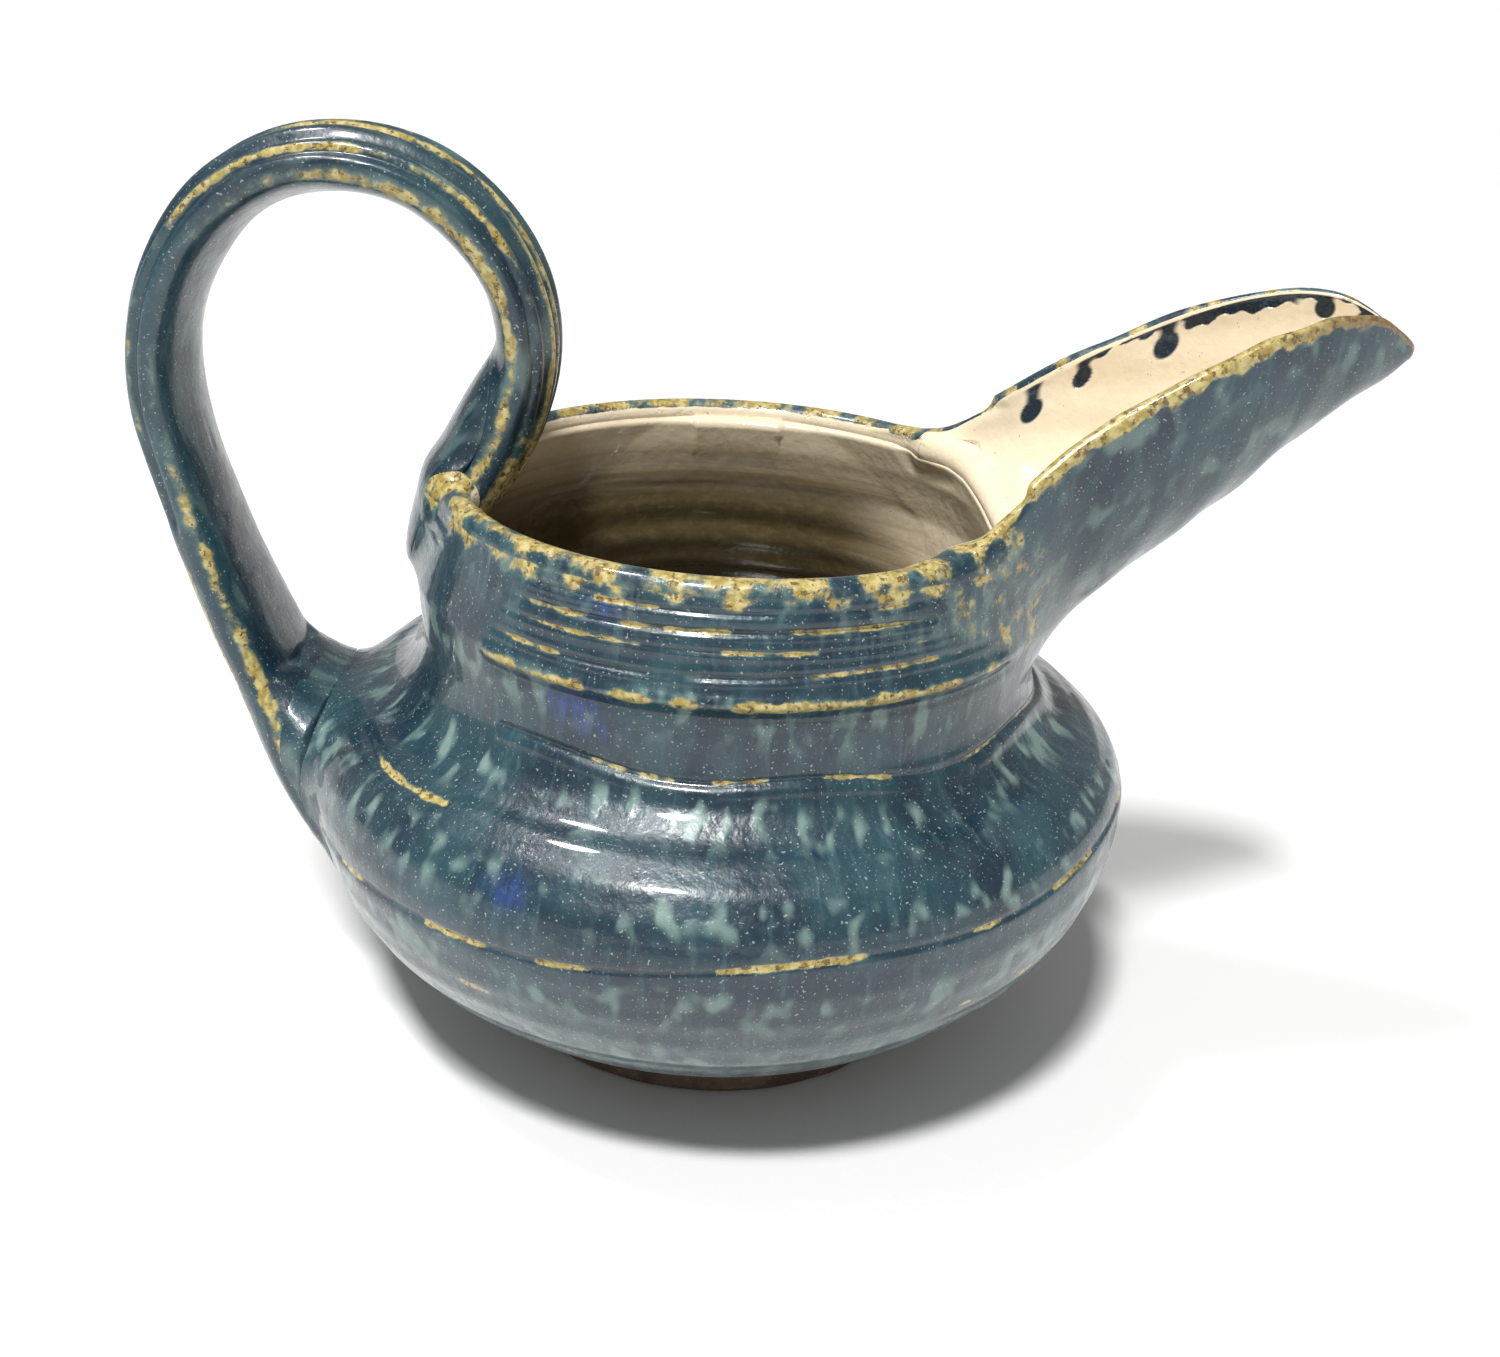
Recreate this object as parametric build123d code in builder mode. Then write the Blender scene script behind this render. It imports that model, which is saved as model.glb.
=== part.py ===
from build123d import *
import os
from math import cos, degrees, radians, sin

# Hand-thrown stoneware pitcher, in millimetres.
# The origin is on the ground under the middle of the pitcher's length, +Z is up and the spout points along +X.
# Distances from the axis are measured from the axis that the pot was thrown on.

# The pot's axis, a little behind the origin, because the spout reaches further than the handle
pot_axis_x = -2.5

# Thrown body
wall = 4.2
body_base_z = 9.0
belly_radius = 60.0
belly_z = 37.5
lower_belly_arc = 28.5
shoulder_arc = 13.0
waist_radius = 44.2
waist_z = 60.0
collar_base_radius = 44.9
collar_base_z = 68.0
collar_bead = 1.3
collar_bead_depth = 0.4
lip_outer_radius = 42.0
lip_centre_z = 80.0
groove_radius = 0.7
groove_offset = 0.2
groove_heights = [71.2, 73.6, 76.0, 78.3]

# Foot ring
foot_outer_radius = 34.0
foot_inner_radius = 26.5
foot_edge = 1.2

# Glaze coat inside the pot
liner = 0.7

# Spout: each station is its distance from the axis, its half width and its keel's height
spout_stations = [
    (31.0, 27.8, 48.0),
    (40.0, 22.0, 55.0),
    (52.0, 17.8, 69.5),
    (64.0, 15.0, 80.5),
    (76.0, 10.2, 92.5),
    (84.0, 6.2, 100.0),
    (90.4, 2.0, 104.6),
]
spout_side_wall = 4.0
spout_tip_side_wall = 1.3
spout_floor = 6.2
spout_tip_floor = 1.2
spout_edge = [(31.0, 82.0), (45.0, 94.5), (62.0, 105.2), (78.0, 111.0), (90.4, 106.2)]
spout_section_top = 125.0

# Sill where the collar opens into the spout
sill_side = (30.0, 26.5, 79.6)
sill_middle = (43.6, 0.0, 76.4)
coil_radius = 2.3

# Handle: the strap's middle line, from inside the belly's wall up and over to the lip
strap_foot = (-51.7, 26.0)
strap_foot_heading = 154.0
# Radius of each tangent arc in turn, and the angle in degrees that it turns through
strap_arcs = [(14.0, 32.0), (172.0, 19.5), (33.8, 52.0), (24.3, 153.0), (60.0, 6.0), (18.0, 39.0)]
strap_width = 19.5
strap_inner_depth = 4.2
strap_side = 1.8
strap_crown_rise = 2.8
rib_count = 5
rib_rise = 0.7

# Clay worked round the handle's ends: middle in the XZ plane, half depth and reach
upper_root_middle = (-41.2, 74.8)
upper_root_depth = 4.8
upper_root_reach = 10.8
lower_root_middle = (-57.0, 35.0)
lower_root_depth = 6.0
lower_root_reach = 13.0
# Angle on the wad's ellipse that its flat end takes up
wad_flat = 14.0

os.makedirs("parts", exist_ok=True)

pot_axis = Axis((pot_axis_x, 0, 0), (0, 0, 1))
side_view = Plane(origin=(pot_axis_x, 0, 0), x_dir=(1, 0, 0), z_dir=(0, -1, 0))
ground = Plane(origin=(pot_axis_x, 0, 0))


def draw_side(inset):
    """The pot's side from its base to the lip, moved inwards by inset. Returns its two end points."""
    rise = waist_z - belly_z
    turn = 2 * Vector(rise, belly_radius - waist_radius).get_angle(Vector(1, 0))
    reach = rise / sin(radians(turn))
    shoulder_x = belly_radius - shoulder_arc
    waist_centre = (shoulder_x + reach * cos(radians(turn)), waist_z)
    belly = CenterArc((belly_radius - lower_belly_arc, belly_z), lower_belly_arc - inset, -90, 90)
    CenterArc((shoulder_x, belly_z), shoulder_arc - inset, 0, turn)
    waist = CenterArc(waist_centre, reach - shoulder_arc + inset, 180 + turn, -turn)
    collar = Line(waist @ 1, (collar_base_radius - inset, collar_base_z))
    neck = Line(collar @ 1, (lip_outer_radius - inset, lip_centre_z))
    return belly @ 0, neck @ 1


# The pot as thrown, before its collar is opened for the spout
with BuildPart() as pot:
    with BuildSketch(side_view):
        with BuildLine():
            outer_base, lip_outside = draw_side(0)
            inner_base, lip_inside = draw_side(wall)
            lip_top = (lip_outer_radius - wall / 2, lip_centre_z + wall / 2)
            ThreePointArc(lip_outside, lip_top, lip_inside)
            Polyline(outer_base, (0, body_base_z), (0, body_base_z + wall), inner_base)
        make_face()
        with Locations((collar_base_radius - collar_bead_depth, collar_base_z)):
            Circle(collar_bead)
        neck_slope = (collar_base_radius - lip_outer_radius) / (lip_centre_z - collar_base_z)
        for height in groove_heights:
            face_radius = lip_outer_radius + (lip_centre_z - height) * neck_slope
            with Locations((face_radius + groove_offset, height)):
                Circle(groove_radius, mode=Mode.SUBTRACT)
    revolve(axis=pot_axis)

# The pot filled to the middle of its lip, which trims what is joined on to it
with BuildPart() as filled_pot:
    add(pot.part)
    with BuildSketch(side_view):
        with BuildLine():
            fill_base, fill_lip = draw_side(wall / 2)
            Polyline(fill_base, (0, body_base_z + wall / 2), (0, lip_centre_z), fill_lip)
        make_face()
    revolve(axis=pot_axis)


def spout_section(x, half_width, keel, rim):
    """One upright cross-section of the spout, round below the rim and straight above it."""
    with BuildSketch(Plane.YZ.offset(pot_axis_x + x)) as section:
        with BuildLine():
            EllipticalCenterArc((0, rim), half_width, rim - keel, start_angle=180, arc_size=180)
            Polyline(
                (half_width, rim),
                (half_width, spout_section_top),
                (-half_width, spout_section_top),
                (-half_width, rim),
            )
        make_face()
    return section.sketch


def rim_height(x):
    """Height of the spout's edge at x, between the points of its side view."""
    for (x0, z0), (x1, z1) in zip(spout_edge, spout_edge[1:]):
        if x <= x1:
            return z0 + (z1 - z0) * (x - x0) / (x1 - x0)
    return spout_edge[-1][1]


def spout_sections(side, floor, tip_side, tip_floor):
    """The spout's sections, moved inwards by side and upwards by floor, and by less towards the tip."""
    first, last = spout_stations[0][0], spout_stations[-1][0]
    sections = []
    for x, half_width, keel in spout_stations:
        along = (x - first) / (last - first)
        inward = side + (tip_side - side) * along
        upward = floor + (tip_floor - floor) * along
        sections.append(spout_section(x, half_width - inward, keel + upward, rim_height(x)))
    return sections


# The space inside the spout's trough
with BuildPart() as hollow:
    loft(sections=spout_sections(spout_side_wall, spout_floor, spout_tip_side_wall, spout_tip_floor))

# The part of that space above the sloping sill, which opens the collar
with BuildPart() as channel:
    add(hollow.part)
    with BuildSketch(side_view):
        with BuildLine():
            sill_slope = (sill_middle[2] - sill_side[2]) / (sill_middle[0] - sill_side[0])
            sill_at_axis = sill_middle[2] - sill_middle[0] * sill_slope
            far = spout_stations[-1][0]
            Polyline(
                (0, sill_at_axis),
                (far, sill_at_axis + far * sill_slope),
                (far, spout_section_top),
                (0, spout_section_top),
                close=True,
            )
        make_face()
    extrude(amount=belly_radius, both=True, mode=Mode.INTERSECT)

with BuildPart() as spout_seam_coil:
    with BuildLine(ground) as coil_line:
        ThreePointArc((sill_side[0], -sill_side[1], sill_side[2]), sill_middle, sill_side)
    coil_path = coil_line.wires()[0]
    with BuildSketch(Plane(origin=coil_path @ 0, z_dir=coil_path % 0)):
        Circle(coil_radius)
    sweep(path=coil_path)
spout_seam_coil.part.label = "spout_seam_coil"
export_step(spout_seam_coil.part, "parts/spout_seam_coil.step")

with BuildPart() as thrown_body:
    add(pot.part)
    add(channel.part, mode=Mode.SUBTRACT)
    add(spout_seam_coil.part, mode=Mode.SUBTRACT)
thrown_body.part.label = "thrown_body"
export_step(thrown_body.part, "parts/thrown_body.step")

with BuildPart() as foot_ring:
    with BuildSketch(ground):
        Circle(foot_outer_radius)
        Circle(foot_inner_radius, mode=Mode.SUBTRACT)
    extrude(amount=body_base_z)
    chamfer(foot_ring.edges().group_by(Axis.Z)[0], foot_edge)
    add(pot.part, mode=Mode.SUBTRACT)
foot_ring.part.label = "foot_ring"
export_step(foot_ring.part, "parts/foot_ring.step")

with BuildPart() as liner_glaze:
    with BuildSketch(side_view):
        with BuildLine():
            clay_base, clay_lip = draw_side(wall)
            glaze_base, glaze_lip = draw_side(wall + liner)
            base_z = body_base_z + wall
            Polyline(clay_base, (0, base_z), (0, base_z + liner), glaze_base)
            Line(clay_lip, glaze_lip)
        make_face()
    revolve(axis=pot_axis)
    add(channel.part, mode=Mode.SUBTRACT)
    add(spout_seam_coil.part, mode=Mode.SUBTRACT)
liner_glaze.part.label = "liner_glaze"
export_step(liner_glaze.part, "parts/liner_glaze.step")

with BuildPart() as spout:
    loft(sections=spout_sections(0, 0, 0, 0))
    add(hollow.part, mode=Mode.SUBTRACT)
    with BuildSketch(side_view):
        with BuildLine():
            edge = Spline(*spout_edge)
            Polyline(edge @ 1, (spout_edge[-1][0], 0), (spout_edge[0][0], 0), edge @ 0)
        make_face()
    extrude(amount=belly_radius, both=True, mode=Mode.INTERSECT)
    add(filled_pot.part, mode=Mode.SUBTRACT)
    add(spout_seam_coil.part, mode=Mode.SUBTRACT)
spout.part.label = "spout"
export_step(spout.part, "parts/spout.step")


def trace_strap():
    """The strap's middle line, a chain of arcs that each start along the end of the one before."""
    x, z = strap_foot
    heading = radians(strap_foot_heading)
    for radius, angle in strap_arcs:
        centre_x = x + radius * sin(heading)
        centre_z = z - radius * cos(heading)
        CenterArc((centre_x, centre_z), radius, degrees(heading) + 90, -angle)
        heading -= radians(angle)
        x = centre_x - radius * sin(heading)
        z = centre_z + radius * cos(heading)


with BuildPart() as handle:
    with BuildLine(side_view) as strap_line:
        trace_strap()
    strap_path = strap_line.wires()[0]
    with BuildSketch(Plane(origin=strap_path @ 0, x_dir=(0, 1, 0), z_dir=strap_path % 0)):
        with BuildLine():
            half = strap_width / 2
            ThreePointArc((-half, 0), (0, -strap_inner_depth), (half, 0))
            rib_edges = []
            for rib in range(rib_count + 1):
                across = 1 - 2 * rib / rib_count
                rib_edges.append((half * across, strap_side + strap_crown_rise * (1 - across * across)))
            Line((half, 0), rib_edges[0])
            for start, end in zip(rib_edges, rib_edges[1:]):
                SagittaArc(start, end, -rib_rise)
            Line(rib_edges[-1], (-half, 0))
        make_face()
    sweep(path=strap_path)
    add(filled_pot.part, mode=Mode.SUBTRACT)
handle.part.label = "handle"
export_step(handle.part, "parts/handle.step")


def shape_wad(middle, depth, reach):
    """A wad of clay, a half ellipse turned about its own short axis along X, thumbed flat at both ends."""
    middle_x, middle_z = middle
    flat_x = depth * cos(radians(wad_flat))
    with BuildSketch(side_view) as half_ellipse:
        with BuildLine():
            arc = EllipticalCenterArc(middle, depth, reach, start_angle=wad_flat, arc_size=180 - 2 * wad_flat)
            Polyline(arc @ 1, (middle_x - flat_x, middle_z), (middle_x + flat_x, middle_z), arc @ 0)
        make_face()
    return revolve(half_ellipse.sketch, axis=Axis((middle_x, 0, middle_z), (1, 0, 0)))


upper_wad = shape_wad(upper_root_middle, upper_root_depth, upper_root_reach)
with BuildPart() as handle_upper_root:
    add(upper_wad)
    add(filled_pot.part, mode=Mode.SUBTRACT)
    add(handle.part, mode=Mode.SUBTRACT)
handle_upper_root.part.label = "handle_upper_root"
export_step(handle_upper_root.part, "parts/handle_upper_root.step")

lower_wad = shape_wad(lower_root_middle, lower_root_depth, lower_root_reach)
with BuildPart() as handle_lower_root:
    add(lower_wad)
    add(filled_pot.part, mode=Mode.SUBTRACT)
    add(handle.part, mode=Mode.SUBTRACT)
handle_lower_root.part.label = "handle_lower_root"
export_step(handle_lower_root.part, "parts/handle_lower_root.step")
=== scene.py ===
import math

import bpy
import numpy as np
from mathutils import Matrix, Vector


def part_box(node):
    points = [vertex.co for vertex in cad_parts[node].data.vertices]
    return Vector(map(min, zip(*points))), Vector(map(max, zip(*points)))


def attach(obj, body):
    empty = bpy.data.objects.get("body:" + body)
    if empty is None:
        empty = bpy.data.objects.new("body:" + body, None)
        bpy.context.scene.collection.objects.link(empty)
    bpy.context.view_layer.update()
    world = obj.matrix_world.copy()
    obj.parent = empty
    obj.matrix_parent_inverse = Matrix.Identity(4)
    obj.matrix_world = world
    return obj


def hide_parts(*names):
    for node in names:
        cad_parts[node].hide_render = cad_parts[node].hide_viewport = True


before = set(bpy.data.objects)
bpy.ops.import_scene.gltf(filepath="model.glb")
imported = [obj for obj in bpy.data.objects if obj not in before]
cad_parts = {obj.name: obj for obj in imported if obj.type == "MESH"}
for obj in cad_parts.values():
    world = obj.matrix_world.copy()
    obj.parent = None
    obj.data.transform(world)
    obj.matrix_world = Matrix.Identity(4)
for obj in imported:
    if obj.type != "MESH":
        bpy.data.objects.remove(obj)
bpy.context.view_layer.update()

# Shapes are worked out in millimetres in the CAD frame and turned into metres when a mesh is made.
MM = 1000.0


def node_box(name):
    """Lowest and highest corner of a CAD node, in millimetres."""
    low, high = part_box(name)
    return np.array(low) * MM, np.array(high) * MM


BODY_LOW, BODY_HIGH = node_box("thrown_body")
FOOT_LOW, FOOT_HIGH = node_box("foot_ring")
_, SPOUT_HIGH = node_box("spout")

# The axis that the pot was thrown on. All the shapes below are worked out from this axis.
AXIS_X = float(FOOT_LOW[0] + FOOT_HIGH[0]) / 2

# Thrown body
WALL = 4.2
BASE_Z = float(BODY_LOW[2])
BELLY_RADIUS = float(BODY_HIGH[0]) - AXIS_X
BELLY_Z = 37.5
LOWER_BELLY_ARC = 28.5
SHOULDER_ARC = 13.0
WAIST_RADIUS = 44.2
WAIST_Z = 60.0
COLLAR_RADIUS = 44.9
COLLAR_Z = 68.0
LIP_RADIUS = 42.0
LIP_TOP = float(BODY_HIGH[2])
LIP_Z = LIP_TOP - WALL / 2
FOOT_RADIUS = float(FOOT_HIGH[0]) - AXIS_X
FOOT_INNER_RADIUS = 26.5
LINER = 0.7

# Spout: distance from the axis, half width and keel height, and the edge's distance and height
SPOUT_STATIONS = np.array([
    (27.0, 30.0, 46.5), (31.0, 27.8, 48.0), (36.0, 24.4, 51.0), (41.0, 21.2, 56.5), (46.0, 19.0, 62.5),
    (52.0, 17.7, 69.0), (60.0, 15.8, 76.6), (68.0, 13.4, 84.0), (76.0, 10.2, 92.4), (83.0, 6.8, 98.6),
    (88.0, 3.6, 102.6), (90.6, 1.3, 105.2),
])
SPOUT_EDGE = np.array([
    (27.0, 81.2), (31.0, 83.0), (34.0, 85.6), (38.0, 89.1), (42.0, 92.5), (48.0, 97.0), (56.0, 102.0),
    (64.0, 106.4), (72.0, 109.8), (78.0, 111.2), (83.0, 110.9), (87.5, 108.8), (90.6, 106.3),
])
SPOUT_TIP = float(SPOUT_HIGH[0]) - AXIS_X - 0.1
SPOUT_ROOT_RADIUS = 41.6
SPOUT_INNER_ROOT_RADIUS = 38.1
SPOUT_WALL = (3.9, 1.1)
SPOUT_FLOOR = (6.6, 1.1)

# Sill between the pot and the spout
SILL_HALF_ANGLE = 41.5
SILL_ANGLES = np.array([0.0, 11.0, 19.6, 26.0, 32.0, 41.5, 180.0])
SILL_TOPS = np.array([-5.6, -4.2, -2.4, -0.9, -0.2, 0.0, 0.0])
COIL_RADIUS = 2.1

# Handle: the strap's middle line as tangent arcs, each a radius and the degrees it turns through
STRAP_FOOT = (-51.7, 26.0)
STRAP_HEADING = 154.0
STRAP_ARCS = [(14.0, 32.0), (172.0, 19.5), (33.8, 52.0), (24.3, 153.0), (60.0, 6.0), (18.0, 39.0)]
STRAP_INNER = 4.2
STRAP_OUTER = 4.6
# Half width along the strap, as fractions of its length
STRAP_PLACES = np.array([0.0, 0.07, 0.16, 0.30, 0.50, 0.62, 0.75, 0.88, 1.0])
STRAP_HALF_WIDTHS = np.array([13.6, 13.2, 11.6, 9.4, 9.8, 10.2, 9.6, 9.2, 10.4])
STRAP_THICKNESS = np.array([0.55, 0.72, 0.92, 0.93, 0.98, 1.0, 1.0, 0.95, 0.85])
STRAP_POWER = 2.5
GROOVES = [(-0.66, 0.12, 1.15), (-0.25, 0.13, 1.35), (0.16, 0.12, 1.25), (0.60, 0.14, 1.35)]

# Roots: middle, half sizes and lean in degrees of the clay worked round the handle's ends
UPPER_ROOT = ((-39.0, 0.0, 82.5), (3.7, 9.9, 16.5), 24.0)
LOWER_ROOT = ((-59.5, 0.0, 38.5), (5.4, 13.8, 11.5), -25.0)


# ------------ small maths


def smooth_curve(x, points):
    """A cubic through points of (place, value), for an array of places."""
    px, py = points[:, 0], points[:, 1]
    slopes = np.gradient(py, px)
    x = np.clip(x, px[0], px[-1])
    i = np.clip(np.searchsorted(px, x) - 1, 0, len(px) - 2)
    h = px[i + 1] - px[i]
    t = (x - px[i]) / h
    a = (1 + 2 * t) * (1 - t) ** 2 * py[i] + t * (1 - t) ** 2 * h * slopes[i]
    return a + t * t * (3 - 2 * t) * py[i + 1] + t * t * (t - 1) * h * slopes[i + 1]


def ease(low, high, x):
    """Climbs smoothly from 0 at low to 1 at high, or falls where high is the lower."""
    t = np.clip((x - low) / (high - low), 0, 1)
    return t * t * (3 - 2 * t)


def bell(x, width):
    return np.exp(-((x / width) ** 2))


def soft_min(a, b, k):
    """The lower of two fields, rounded where they are closer than k."""
    h = np.maximum(k - np.abs(a - b), 0) / k
    return np.minimum(a, b) - h * h * k / 4


def soft_max(a, b, k):
    return -soft_min(-a, -b, k)


def waves(seed, count, low, high):
    """A smooth random function of an angle that repeats after one turn."""
    r = np.random.default_rng(seed)
    turns = r.integers(low, high + 1, count)
    phases = r.uniform(0, 2 * math.pi, count)
    sizes = r.uniform(0.5, 1.0, count)
    sizes = sizes / np.sqrt((sizes**2).sum() / 2)

    def value(angle):
        return sum(s * np.sin(n * angle + p) for s, n, p in zip(sizes, turns, phases))

    return value


def waves_2d(seed, count, low, high, size):
    """A smooth random function of an angle and a length, with features of about that size in length."""
    r = np.random.default_rng(seed)
    turns = r.integers(low, high + 1, count)
    rates = r.uniform(-1, 1, count) * 2 * math.pi / size
    phases = r.uniform(0, 2 * math.pi, count)

    def value(angle, length):
        total = sum(np.sin(n * angle + k * length + p) for n, k, p in zip(turns, rates, phases))
        return total / math.sqrt(count / 2)

    return value


# ------------ outlines


def arc(cx, cz, radius, start, end, steps):
    a = np.radians(np.linspace(start, end, steps))
    return np.column_stack([cx + radius * np.cos(a), cz + radius * np.sin(a)])


def side_outline(inset):
    """The pot's side from its base to the lip's middle height, moved inwards by inset."""
    rise = WAIST_Z - BELLY_Z
    turn = 2 * math.atan2(BELLY_RADIUS - WAIST_RADIUS, rise)
    reach = rise / math.sin(turn)
    shoulder_x = BELLY_RADIUS - SHOULDER_ARC
    waist_x = shoulder_x + reach * math.cos(turn)
    degrees = math.degrees(turn)
    pieces = [
        arc(BELLY_RADIUS - LOWER_BELLY_ARC, BELLY_Z, LOWER_BELLY_ARC - inset, -90, 0, 48),
        arc(shoulder_x, BELLY_Z, SHOULDER_ARC - inset, 0, degrees, 24)[1:],
        arc(waist_x, WAIST_Z, reach - SHOULDER_ARC + inset, 180 + degrees, 180, 24)[1:],
        np.array([(COLLAR_RADIUS - inset, COLLAR_Z), (LIP_RADIUS - inset, LIP_Z)]),
    ]
    return np.vstack(pieces)


OUTER_SIDE = side_outline(0)
INNER_SIDE = side_outline(WALL)
LIP_ARC = arc(LIP_RADIUS - WALL / 2, LIP_Z, WALL / 2, 0, 180, 13)[1:-1]
WALL_OUTLINE = np.vstack([
    [(0, BASE_Z)], OUTER_SIDE, LIP_ARC, INNER_SIDE[::-1], [(0, BASE_Z + WALL)],
])


def distances(points):
    """How far along a line of points each one is."""
    return np.concatenate([[0], np.cumsum(np.hypot(*np.diff(points[:, :2], axis=0).T))])


def resample(points, spacing):
    """Evenly spaced points along an outline, and how far along each one is."""
    along = distances(points)
    count = max(2, int(round(along[-1] / spacing)) + 1)
    s = np.linspace(0, along[-1], count)
    return np.column_stack([np.interp(s, along, points[:, k]) for k in (0, 1)]), s


def sill_drop(angle):
    """How far the wall's top is lowered at an angle from the spout."""
    degrees = np.abs(np.degrees(angle))
    return np.interp(degrees, SILL_ANGLES, SILL_TOPS)


def lowered(z, angle):
    """Height after the wall's upper part is lowered for the spout's sill."""
    return z + sill_drop(angle) * ease(LIP_TOP - 20, LIP_TOP - 2, z)


# ------------ the clay as one field
# Each function gives a rough distance from the surface of one piece, negative inside it.


def wall_field(p):
    r = np.hypot(p[:, 0], p[:, 1])
    angle = np.arctan2(p[:, 1], p[:, 0])
    z = p[:, 2] - sill_drop(angle) * ease(LIP_TOP - 22, LIP_TOP - 4, p[:, 2])
    a = WALL_OUTLINE
    b = np.roll(WALL_OUTLINE, -1, axis=0)
    best = np.full(len(p), 1e9)
    inside = np.zeros(len(p), bool)
    for (ax, az), (bx, bz) in zip(a, b):
        dx, dz = bx - ax, bz - az
        length = dx * dx + dz * dz
        if length == 0:
            continue
        t = np.clip(((r - ax) * dx + (z - az) * dz) / length, 0, 1)
        best = np.minimum(best, (r - ax - t * dx) ** 2 + (z - az - t * dz) ** 2)
        crosses = (az > z) != (bz > z)
        inside ^= crosses & (r < ax + (z - az) * dx / (dz if dz else 1.0))
    return np.where(inside, -1, 1) * np.sqrt(best)


def spout_half_width(x):
    return smooth_curve(x, SPOUT_STATIONS[:, [0, 1]])


def spout_keel(x):
    return smooth_curve(x, SPOUT_STATIONS[:, [0, 2]])


def spout_edge(x):
    return smooth_curve(x, SPOUT_EDGE)


def along_spout(x):
    return np.clip((x - SPOUT_STATIONS[0, 0]) / (SPOUT_STATIONS[-1, 0] - SPOUT_STATIONS[0, 0]), 0, 1)


def spout_inset(x):
    t = along_spout(x)
    side = SPOUT_WALL[0] + (SPOUT_WALL[1] - SPOUT_WALL[0]) * t**0.75
    floor = SPOUT_FLOOR[0] + (SPOUT_FLOOR[1] - SPOUT_FLOOR[0]) * t**0.75
    return np.minimum(side, spout_half_width(x) * 0.8), floor


def trough_half_width(x):
    return spout_half_width(x) - spout_inset(x)[0]


def trough_floor(x):
    """Height of the trough's floor: it starts just behind the sill and dips before it climbs."""
    return spout_keel(x) + spout_inset(x)[1] + 13.4 * (1 - ease(40.5, 57.0, x))


def round_section(y, z, half, low, top):
    """Distance from a section that is half an ellipse below top and upright above it."""
    depth = np.maximum(top - low, 0.2)
    half = np.maximum(half, 0.2)
    down = np.maximum(top - z, 0)
    k0 = np.sqrt((y / half) ** 2 + (down / depth) ** 2) + 1e-9
    k1 = np.sqrt((y / half**2) ** 2 + (down / depth**2) ** 2) + 1e-9
    return k0 * (k0 - 1) / k1


def spout_field(p):
    x, y, z = p.T
    top = spout_edge(x)
    outer = round_section(y, z, spout_half_width(x), spout_keel(x), top) * 0.85
    inner = round_section(y, z, trough_half_width(x), trough_floor(x), top) * 0.9
    shell = soft_max(outer, -inner, 1.0)
    shell = soft_max(shell, (z - top) * 0.85, 2.0)
    shell = np.maximum(shell, x - SPOUT_TIP)
    reach_in = (SPOUT_ROOT_RADIUS - SPOUT_INNER_ROOT_RADIUS) * ease(LIP_TOP - 3, LIP_TOP, z)
    return np.maximum(shell, SPOUT_ROOT_RADIUS - reach_in - np.hypot(x, y))


def coil_point(angle):
    """The middle of the clay coil worked round the sill."""
    radius = np.interp(np.abs(np.degrees(angle)), [0, 28, 41.5], [43.4, 41.4, 38.8])
    z = LIP_TOP + np.interp(np.abs(np.degrees(angle)), SILL_ANGLES, SILL_TOPS) - 1.9
    return np.column_stack([radius * np.cos(angle), radius * np.sin(angle), z])


COIL_LINE = coil_point(np.radians(np.linspace(-SILL_HALF_ANGLE, SILL_HALF_ANGLE, 41)))


def coil_field(p):
    best = np.full(len(p), 1e9)
    for a, b in zip(COIL_LINE, COIL_LINE[1:]):
        d = b - a
        t = np.clip((p - a) @ d / (d @ d), 0, 1)
        best = np.minimum(best, ((p - a - t[:, None] * d) ** 2).sum(1))
    return np.sqrt(best) - COIL_RADIUS


def trace_strap(spacing):
    """Points along the strap's middle line with its heading, as rows of x, z and angle."""
    x, z = STRAP_FOOT
    heading = math.radians(STRAP_HEADING)
    rows = []
    for radius, degrees in STRAP_ARCS:
        turn = math.radians(degrees)
        cx = x + radius * math.sin(heading)
        cz = z - radius * math.cos(heading)
        steps = max(2, int(radius * turn / spacing))
        for t in np.linspace(0, turn, steps, endpoint=False):
            h = heading - t
            rows.append((cx - radius * math.sin(h), cz + radius * math.cos(h), h))
        heading -= turn
        x = cx - radius * math.sin(heading)
        z = cz + radius * math.cos(heading)
    rows.append((x, z, heading))
    return np.array(rows)


STRAP_LINE = trace_strap(1.5)
STRAP_ALONG = distances(STRAP_LINE)
STRAP_LENGTH = STRAP_ALONG[-1]


def strap_half_width(t):
    return smooth_curve(t, np.column_stack([STRAP_PLACES, STRAP_HALF_WIDTHS]))


def strap_thickness(t):
    return smooth_curve(t, np.column_stack([STRAP_PLACES, STRAP_THICKNESS]))


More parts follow.
